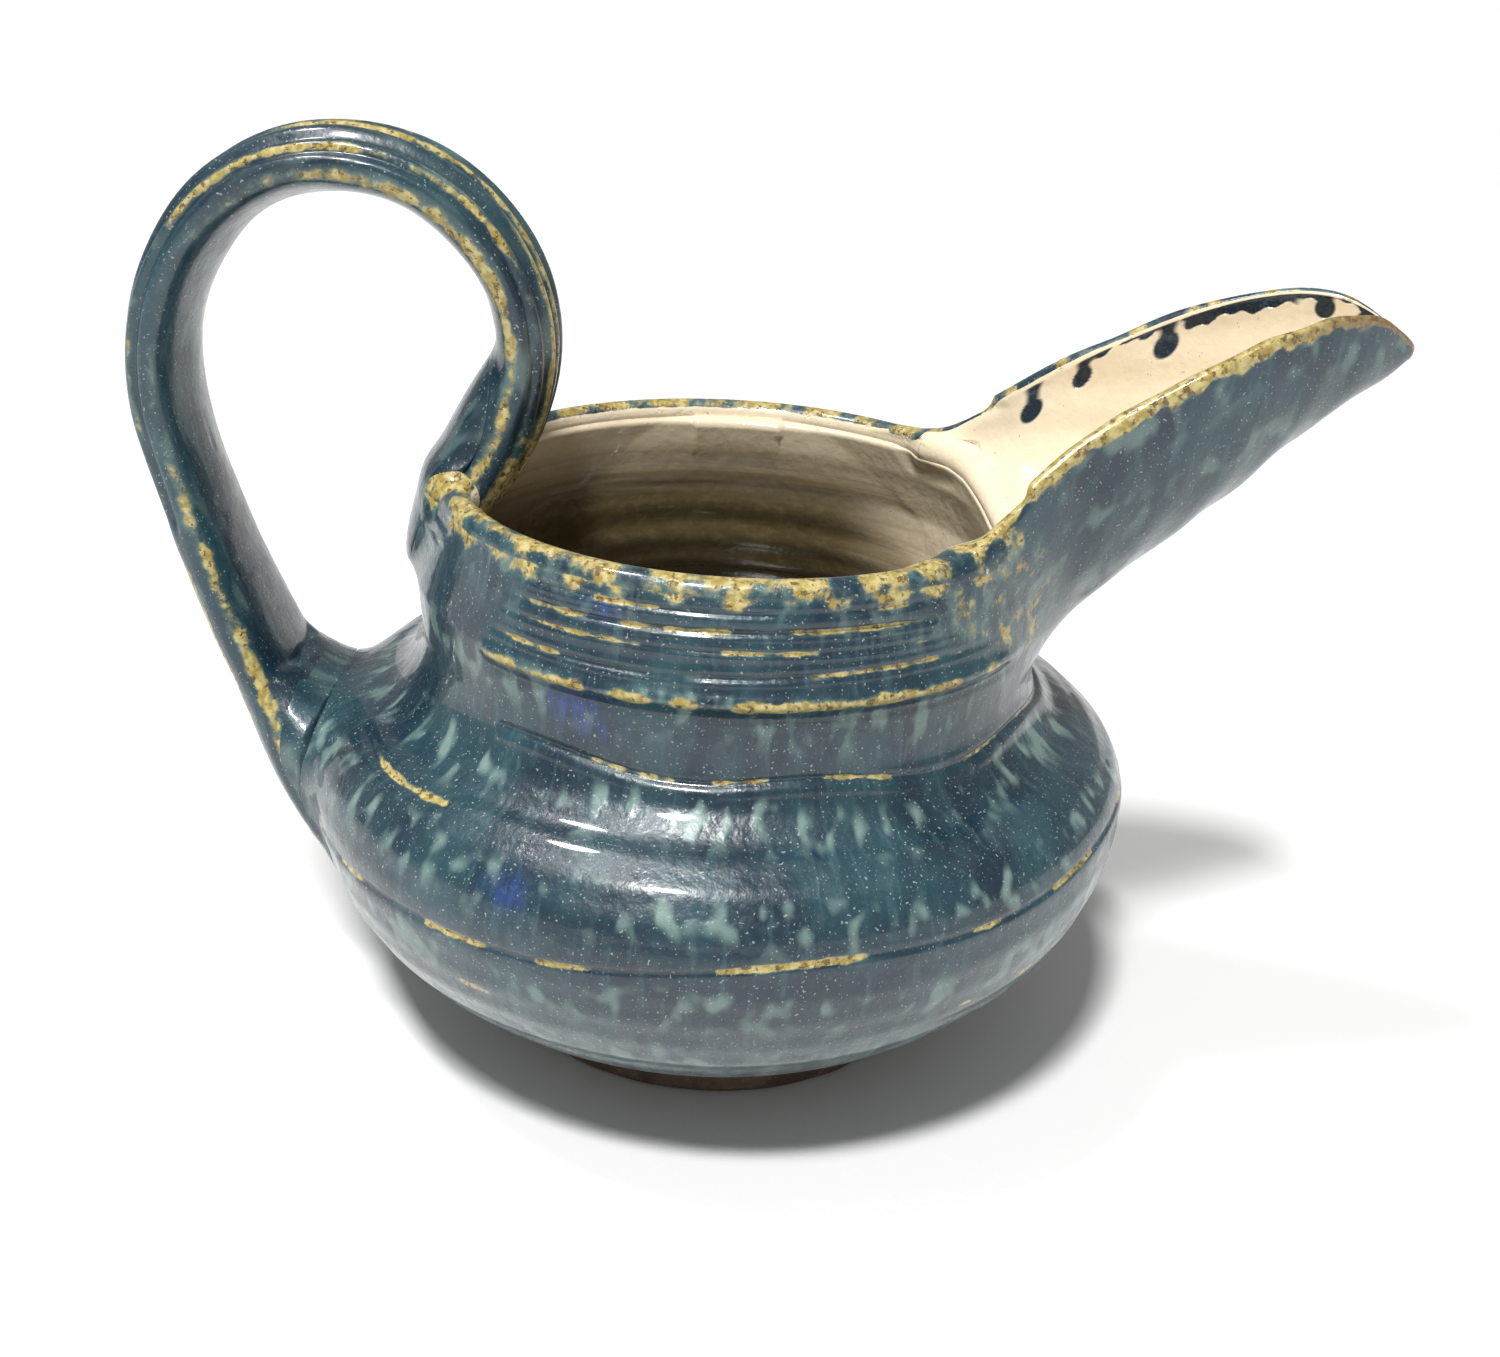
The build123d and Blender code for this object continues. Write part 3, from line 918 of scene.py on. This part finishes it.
def build_liner():
    front, _ = resample(side_outline(WALL + LINER), 0.42)
    front = front[front[:, 1] < LIP_Z - 0.6]
    floor = np.column_stack([np.linspace(1.5, front[0, 0], 50)[:-1], np.full(49, front[0, 1])])
    back, _ = resample(side_outline(WALL - 0.35), 1.4)
    back = back[back[:, 1] < LIP_Z - 0.6][::-1]
    floor_back = np.column_stack([np.linspace(back[-1, 0], 1.5, 16)[1:], np.full(15, back[-1, 1])])
    outline = np.vstack([floor, front, back, floor_back])
    p, angle = revolve(outline, LINER_COLUMNS)
    p[..., 2] = lowered(p[..., 2], angle)
    row = np.arange(len(outline))[:, None]
    on_front = row < len(floor) + len(front)
    along = distances(outline)[:, None] + 0 * angle
    height = throwing_rings(along, angle, 71, 0.36, 5.4)
    height = height * ease(0, 5, np.abs(along - along[len(floor) - 1]))
    settled, joined = settle(p, "wall", sink=0.0)
    top = ease(LIP_Z - 20, LIP_Z - 1.0, outline[:, 1])[:, None]
    normals = grid_normals(p)
    # The coat thins out towards the lip and the sill, where it dips into the clay
    near = np.maximum(top, joined)
    eased = p * (1 - joined[..., None]) + settled * joined[..., None]
    p = np.where((on_front & (joined > 0.02))[..., None], eased, p)
    height = height * (1 - near) - (LINER + 0.25) * top * (1 - joined) - 0.12 * joined
    p = p + normals * (height * on_front)[..., None]
    # Painted shade inside the pot: darker further below the lip, spared on the patch near the spout where
    # light falls
    painted_lit_patch = ease(14, 34, p[..., 0]) * ease(50, 60, p[..., 2])
    painted_shade = ease(LIP_Z - 1, LIP_Z - 17, p[..., 2]) * (1 - 0.85 * painted_lit_patch)
    painted_shade = np.concatenate([painted_shade.ravel(), [1, 1]])
    points = np.vstack([p.reshape(-1, 3), [(0, 0, front[0, 1]), (0, 0, back[-1, 1])]])
    faces = capped_faces(len(outline), LINER_COLUMNS, len(points))
    return make_piece("liner_glaze_coat", points, faces, {"painted_shade": painted_shade}, CREAM, "liner_glaze")


# ------------ foot ring


def build_foot():
    low, high = float(FOOT_LOW[2]), BASE_Z + 3.2
    outline = np.array([
        (FOOT_INNER_RADIUS + 1.4, low), (FOOT_RADIUS - 1.5, low), (FOOT_RADIUS - 0.5, low + 0.35),
        (FOOT_RADIUS - 0.1, low + 1.1), (FOOT_RADIUS - 0.25, low + 3.4), (FOOT_RADIUS - 0.5, low + 6.4),
        (FOOT_RADIUS - 0.2, BASE_Z + 0.2), (FOOT_RADIUS - 1.2, high - 0.6), (FOOT_RADIUS - 4.5, high - 1.0),
        (FOOT_INNER_RADIUS + 1.5, BASE_Z + 1.2), (FOOT_INNER_RADIUS, BASE_Z + 0.3),
        (FOOT_INNER_RADIUS - 0.1, low + 5.0), (FOOT_INNER_RADIUS + 0.2, low + 1.0),
        (FOOT_INNER_RADIUS + 0.7, low + 0.3), (FOOT_INNER_RADIUS + 1.4, low),
    ])
    outline, along = resample(outline, 0.5)
    outline, along = outline[:-1], along[:-1]
    p, angle = revolve(outline, FOOT_COLUMNS)
    marks = waves_2d(81, 10, 0, 9, 2.6)(angle, along[:, None])
    lumps = waves_2d(82, 8, 3, 22, 9.0)(angle, along[:, None])
    fade = ease(low + 0.05, low + 1.2, p[..., 2])
    normals = grid_normals(p, wrap_rows=True)
    p = p + normals * ((0.10 * marks + 0.12 * lumps) * fade)[..., None]
    faces = [grid_faces(len(outline), FOOT_COLUMNS, wrap_rows=True)]
    return make_piece("foot_ring_clay", p.reshape(-1, 3), faces, {}, CLAY, "foot_ring")


# ------------ handle


def build_handle():
    line = trace_strap(0.45)
    along = distances(line)
    t = along / along[-1]
    columns = 168
    phi = np.linspace(0, 2 * math.pi, columns, endpoint=False)
    c, s = np.cos(phi), np.sin(phi)
    power = 2 / STRAP_POWER
    across = np.sign(c) * np.abs(c) ** power
    out = np.sign(s) * np.abs(s) ** power
    reach = np.where(out > 0, STRAP_OUTER, STRAP_INNER) * strap_thickness(t)[:, None]
    y = strap_half_width(t)[:, None] * across
    n = reach * out
    x = line[:, 0][:, None] - np.sin(line[:, 2])[:, None] * n
    z = line[:, 1][:, None] + np.cos(line[:, 2])[:, None] * n
    p = np.stack([x, y, z], -1)
    p, joined = settle(p, "strap", sink=0.04)
    normals = grid_normals(p)
    middle = np.stack([line[:, 0], 0 * t, line[:, 1]], -1)[:, None]
    if ((p - middle) * normals).sum(-1).mean() < 0:
        normals = -normals
    # Grooves pulled along the strap's outer face, which wander a little
    height = np.zeros_like(y)
    edge = np.zeros_like(y)
    outer_face = ease(0.25, 0.6, out) + 0 * y
    length = along[:, None]
    for number, (place, half, depth) in enumerate(GROOVES):
        centre = place + 0.035 * np.sin(length / 23 + number * 1.7) + 0.02 * np.sin(length / 9 + number)
        d = (across - centre) / half
        height -= depth * np.exp(-(d**2)) * outer_face
    # Crests between the grooves carry the ochre
    places = [-0.97] + [g[0] for g in GROOVES] + [0.97]
    for number, (a, b) in enumerate(zip(places, places[1:])):
        centre = (a + b) / 2 if number not in (0, len(places) - 2) else (a if number == 0 else b) * 0.93
        centre = centre + 0.03 * np.sin(length / 19 + number * 2.1)
        d = (across - centre) / 0.075
        wave = np.sin(length / 14 + number * 2.3) + 0.7 * np.sin(length / 5.3 + number * 5.1)
        dash = ease(-0.6, 0.5, wave)
        edge = np.maximum(edge, (0.30 + 0.50 * dash) * np.exp(-(d**2)) * outer_face)
    # A groove along each side, between the side's upper rib and the strap's long corner
    side = (np.abs(across) > 0.72) + 0 * y
    height -= 0.85 * bell(out - 0.40 - 0.06 * np.sin(length / 17), 0.17) * side
    dash = ease(-0.6, 0.7, np.sin(length / 12.1 + 2 * np.sign(across)) + 0.6 * np.sin(length / 4.1))
    edge = np.maximum(edge, (0.30 + 0.34 * dash) * bell(out - 0.80, 0.10) * side)
    dash = ease(-0.8, 0.9, np.sin(length / 11.3 + 3 * np.sign(across)) + 0.7 * np.sin(length / 3.7))
    share = (0.22 + 0.40 * ease(0.55, 0.80, t) + 0.46 * bell(t - 0.15, 0.14))[:, None]
    edge = np.maximum(edge, (share + 0.25 * dash) * bell(out + 0.30, 0.30) * side)
    inner_face = ease(0.2, 0.6, -out) + 0 * y
    height += 0.35 * inner_face * (np.cos(across * math.pi * 1.6) * 0.5)
    height += 0.10 * np.sin(length / 2.9 + 3 * across) * (0.4 + 0.6 * inner_face)
    fade = 1 - ease(0.45, 1.0, joined) * 0.85
    p = p + normals * (height * fade)[..., None]
    edge = edge * (0.8 + 0.2 * fade)
    top = ease(0.86, 0.97, t)[:, None] * ease(-0.2, 0.4, out)
    edge = np.maximum(edge, 0.62 * top)
    wave = np.sin(length / 6.0) * 0.6 + np.sin(length / 2.3 + 4 * across) * 0.5
    run = 0.35 + 0.65 * ease(0.2, 0.9, wave)
    values = with_ends(glaze_masks(edge, edge=edge, run=0.45 * run))
    flow = np.stack([y, n, 0 * y + 0.5 * length], -1).reshape(-1, 3)
    points = np.vstack([p.reshape(-1, 3), [p[0].mean(0), p[-1].mean(0)]])
    values["flow"] = np.vstack([flow, flow[[0, -1]]])
    faces = capped_faces(len(line), columns, len(points))
    return make_piece("handle_strap", points, faces, values, GLAZE, "handle")


def build_root(name, node, own, wad):
    """A wad of clay at one end of the handle, worked into the pot and the strap."""
    rows, columns = 90, 150
    polar = np.linspace(0, math.pi, rows + 2)[1:-1][:, None]
    turn = np.linspace(0, 2 * math.pi, columns, endpoint=False)[None]
    middle, sizes, lean = wad_frame(wad)
    ring = np.sin(polar)
    unit = np.stack([-np.cos(polar) + 0 * turn, ring * np.cos(turn), ring * np.sin(turn)], -1)
    p = middle + (unit * sizes) @ lean
    p, _ = settle(p, own, sink=0.06)
    zero = np.zeros(p.shape[:2])
    values = with_ends(glaze_masks(zero, edge=0.10 + zero, run=0.4 + zero))
    points = np.vstack([p.reshape(-1, 3), [p[0].mean(0), p[-1].mean(0)]])
    turn = np.arctan2(points[:, 1], points[:, 0])
    values["flow"] = np.column_stack([50 * np.cos(turn), 50 * np.sin(turn), LIP_TOP - points[:, 2]])
    faces = capped_faces(rows, columns, len(points))
    return make_piece(name, points, faces, values, GLAZE, node)


# ------------ spout and its seam

# Dark drips inside the spout: distance from the axis, length below the edge and radius
DRIPS = [(43.0, 3.6, 1.5), (49.5, 2.4, 1.35), (60.5, 3.0, 1.7), (80.0, 1.6, 1.3), (85.0, 1.5, 1.0)]
DARK_BAND = (61.5, 74.5)


def drip_mask(x, below):
    """Dark glaze on the trough's walls: a thin run along the edge, a band and hanging drops."""
    wander = 0.35 * np.sin(x * 0.9) + 0.25 * np.sin(x * 2.3 + 1)
    mask = ease(0.8 + wander, 0.1 + wander, below) * ease(45, 52, x) * 0.8
    band = ease(DARK_BAND[0], DARK_BAND[0] + 2, x) * ease(DARK_BAND[1] + 4, DARK_BAND[1], x)
    mask = np.maximum(mask, band * ease(1.9 + wander, 1.2 + wander, below))
    for place, length, radius in DRIPS:
        d = np.hypot((x - place) / radius, (below - length) / (radius * 1.15))
        neck = bell(x - place, radius * (0.75 + 0.25 * ease(1.2, 0, below)))
        neck = neck * ease(length, length - 1, below)
        mask = np.maximum(mask, np.maximum(ease(1.35, 0.55, d), 0.8 * neck))
    return mask


def root_distance(half_width, share, radius):
    """Where each line along the spout leaves the collar's wall, at a radius from the axis."""
    x = radius + 0 * share
    for _ in range(30):
        y = half_width(x) * share
        x = 0.5 * x + 0.5 * np.sqrt(np.maximum(radius**2 - y**2, 27.0**2))
    return x


def build_spout():
    rows, side_columns, rim_columns = 190, 150, 12
    u = np.linspace(0, 1, rows)[:, None]
    phi = np.linspace(0, math.pi, side_columns)
    c, s = np.cos(phi), np.sin(phi)

    x0 = root_distance(spout_half_width, np.abs(c), SPOUT_ROOT_RADIUS)
    x = x0 + (SPOUT_TIP - x0) * u
    top = spout_edge(x)
    outer = np.stack([x, spout_half_width(x) * c, top - (top - spout_keel(x)) * s], -1)
    reach_in = (SPOUT_ROOT_RADIUS - SPOUT_INNER_ROOT_RADIUS) * (1 - ease(0.02, 0.25, s))
    x0 = root_distance(trough_half_width, np.abs(c), SPOUT_ROOT_RADIUS - reach_in)
    x = x0 + (SPOUT_TIP - 0.9 - x0) * u
    top = spout_edge(x)
    inner = np.stack([x, trough_half_width(x) * c, top - (top - trough_floor(x)) * s], -1)
    beta = np.linspace(0, math.pi, rim_columns + 2)[1:-1][None, :, None]

    def rim(start, end):
        """A round edge from one wall to the other."""
        middle = (start + end)[:, None] / 2
        half = (start - end)[:, None] / 2
        radius = np.linalg.norm(half, axis=-1, keepdims=True)
        up = np.array([0, 0, 1.0])
        return middle + half * np.cos(beta) + up * radius * np.sin(beta) * 0.85

    far_rim = rim(outer[:, -1], inner[:, -1])
    near_rim = rim(inner[:, 0], outer[:, 0])
    p = np.concatenate([outer, far_rim, inner[:, ::-1], near_rim], 1)
    columns = p.shape[1]
    p, joined = settle(p, "spout", sink=0.05)
    # The grid's columns in order: outside, far rim, inside and near rim
    kind = np.repeat([0, 1, 2, 3], [side_columns, rim_columns, side_columns, rim_columns])[None] + 0 * u
    normals = grid_normals(p)
    x, y, z = p[..., 0], p[..., 1], p[..., 2]
    lumps = 0.10 * np.sin(x * 0.55 + 2 * y * 0.3) + 0.08 * np.sin(z * 0.8 + y * 0.5)
    p = p + normals * (lumps * (1 - joined))[..., None]
    x, y, z = p[..., 0], p[..., 1], p[..., 2]
    below = spout_edge(x) - z
    inside = kind == 2
    reach = np.clip((SPOUT_TIP - x) / 16, 0.18, 1)
    band = (2.3 + 0.9 * np.sin(x * 0.8) + 0.6 * np.sin(x * 1.9 + y)) * reach
    edge = np.where(kind == 0, ease(band, 0.3 * reach, below), 0)
    far_break = 0.36 + 0.22 * np.sin(x * 0.7) + 0.15 * np.sin(x * 1.9 + 1)
    edge = np.where(kind == 3, far_break, np.where(kind == 1, 0.95, edge * np.where(y > 0, 0.5, 0.8)))
    blobs = joined * (kind == 0) * ease(58, 70, z)
    edge = np.maximum(edge, 0.40 * blobs)
    rim_inner = np.concatenate([
        np.zeros(side_columns), np.linspace(0, 1, rim_columns),
        np.ones(side_columns), np.linspace(1, 0, rim_columns),
    ])[None] + 0 * u
    cream = ease(0.70, 1.0, rim_inner)
    brown = ease(64, 84, x)
    ink = np.where(inside, drip_mask(x, below), 0)
    run = np.clip(0.55 + 0.45 * np.sin(below * 0.55 + 0.8 * np.sin(x * 0.3)), 0, 1)
    values = glaze_masks(x, edge=np.where(inside, 0, edge), cream=cream, run=0.6 * run, brown=brown, ink=ink)
    values["flow"] = np.stack([x, 30 * np.sign(y) + 0.2 * y, below], -1)
    points = p.reshape(-1, 3)
    faces = [grid_faces(rows, columns)]
    ring = np.arange(columns)
    outer_ids = ring[:side_columns]
    inner_ids = ring[side_columns + rim_columns: 2 * side_columns + rim_columns][::-1]
    far_ids = ring[side_columns: side_columns + rim_columns]
    near_ids = ring[2 * side_columns + rim_columns:]
    strip = np.column_stack([outer_ids[:-1], outer_ids[1:], inner_ids[1:], inner_ids[:-1]])
    far_end = np.concatenate([[outer_ids[-1]], far_ids, [inner_ids[-1]]])
    near_end = np.concatenate([[inner_ids[0]], near_ids, [outer_ids[0]]])
    last = (rows - 1) * columns
    faces += [strip[:, ::-1], strip + last]
    for end in (far_end, near_end):
        faces += [end[None, ::-1], end[None] + last]
    return make_piece("spout_trough", points, faces, values, GLAZE, "spout")


def build_coil():
    rows, columns = 220, 64
    angle = np.radians(np.linspace(-SILL_HALF_ANGLE, SILL_HALF_ANGLE, rows))
    line = coil_point(angle)
    tangent = np.gradient(line, axis=0)
    tangent /= np.linalg.norm(tangent, axis=1, keepdims=True)
    outward = np.column_stack([np.cos(angle), np.sin(angle), 0 * angle])
    up = np.cross(outward, tangent)
    up *= np.sign(up[:, 2:3])
    phi = np.linspace(0, 2 * math.pi, columns, endpoint=False)
    end_taper = np.sqrt(np.clip((SILL_HALF_ANGLE - np.abs(np.degrees(angle))) / 4, 0.02, 1))
    size = COIL_RADIUS * end_taper[:, None, None]
    c, s = np.cos(phi)[None, :, None], np.sin(phi)[None, :, None]
    p = line[:, None] + size * (outward[:, None] * c + up[:, None] * s)
    p, _ = settle(p, "coil", sink=0.03)
    points = np.vstack([p.reshape(-1, 3), [p[0].mean(0), p[-1].mean(0)]])
    faces = capped_faces(rows, columns, len(points))
    # The coil's cream gets no painted shade
    values = {"painted_shade": np.zeros(len(points))}
    return make_piece("spout_seam", points, faces, values, CREAM, "spout_seam_coil")


build_body()
build_liner()
build_foot()
build_handle()
build_root("handle_upper_root_clay", "handle_upper_root", "upper", UPPER_ROOT)
build_root("handle_lower_root_clay", "handle_lower_root", "lower", LOWER_ROOT)
build_spout()
build_coil()


# ------------ floor, light and camera

CAMERA_PLACE = Vector((AXIS_X + 3.71, -231.18, 156.76)) / MM
CAMERA_TARGET = Vector((AXIS_X + 3.71, 0.0, 50.66)) / MM
CAMERA_ROLL = 3.72
LENS = 40.8
SENSOR = 36.0
# Half the floor's side, in metres
FLOOR_REACH = 9.0
# Far soft lights: the way their rays travel, strength and spread in degrees
SUNS = {"key": ((0.17, 0.43, -1), 2.5, 8), "side": ((0.40, -0.02, -1), 1.15, 9)}
# The small lamp that glints on the belly: place, target, width and power
GLINT = ((-0.064, -0.261, 0.50), (-0.008, -0.049, 0.0505), 0.045, 0.9)
SKY_COLOUR = (1.0, 0.99, 0.97, 1)
SKY_STRENGTH = 0.29


def make_floor():
    s = Shader("floor_paper")
    tone = s.noise(s.place(0.004), detail=2)
    colour = s.mix(tone, (0.80, 0.80, 0.795), (0.84, 0.84, 0.835))
    grain = s.noise(s.place(0.8), detail=2)
    material = s.surface(colour, s.step(grain, 0.3, 0.7, 0.6, 0.75), grain, 0.03)
    mesh = bpy.data.meshes.new("floor")
    corners = [(x * FLOOR_REACH, y * FLOOR_REACH, 0) for x, y in ((-1, -1), (1, -1), (1, 1), (-1, 1))]
    mesh.from_pydata(corners, [], [(0, 1, 2, 3)])
    mesh.materials.append(material)
    floor = bpy.data.objects.new("floor", mesh)
    bpy.context.collection.objects.link(floor)


def add_lamp(name, place, target, size, power):
    lamp = bpy.data.lights.new(name, "AREA")
    lamp.shape = "DISK"
    lamp.size = size
    lamp.energy = power
    made = bpy.data.objects.new(name, lamp)
    made.location = place
    made.rotation_euler = (Vector(target) - Vector(place)).to_track_quat("-Z", "Y").to_euler()
    bpy.context.collection.objects.link(made)


def add_sun(name, travel, strength, spread):
    """A far soft light whose rays travel along a direction."""
    lamp = bpy.data.lights.new(name, "SUN")
    lamp.energy = strength
    lamp.angle = math.radians(spread)
    made = bpy.data.objects.new(name, lamp)
    made.rotation_euler = Vector(travel).to_track_quat("-Z", "Y").to_euler()
    bpy.context.collection.objects.link(made)


def make_light():
    world = bpy.data.worlds.new("studio")
    bpy.context.scene.world = world
    world.use_nodes = True
    background = world.node_tree.nodes["Background"]
    background.inputs["Color"].default_value = SKY_COLOUR
    background.inputs["Strength"].default_value = SKY_STRENGTH
    for name, settings in SUNS.items():
        add_sun(name, *settings)
    add_lamp("glint", *GLINT)


def make_camera():
    data = bpy.data.cameras.new("camera")
    data.lens = LENS
    data.sensor_width = SENSOR
    data.clip_start = 0.01
    data.clip_end = 50.0
    camera = bpy.data.objects.new("camera", data)
    turn = (CAMERA_TARGET - CAMERA_PLACE).to_track_quat("-Z", "Y").to_matrix().to_4x4()
    roll = Matrix.Rotation(math.radians(CAMERA_ROLL), 4, "Z")
    camera.matrix_world = Matrix.Translation(CAMERA_PLACE) @ turn @ roll
    bpy.context.collection.objects.link(camera)
    bpy.context.scene.camera = camera


make_floor()
make_light()
make_camera()
bpy.context.scene.view_settings.view_transform = "Standard"
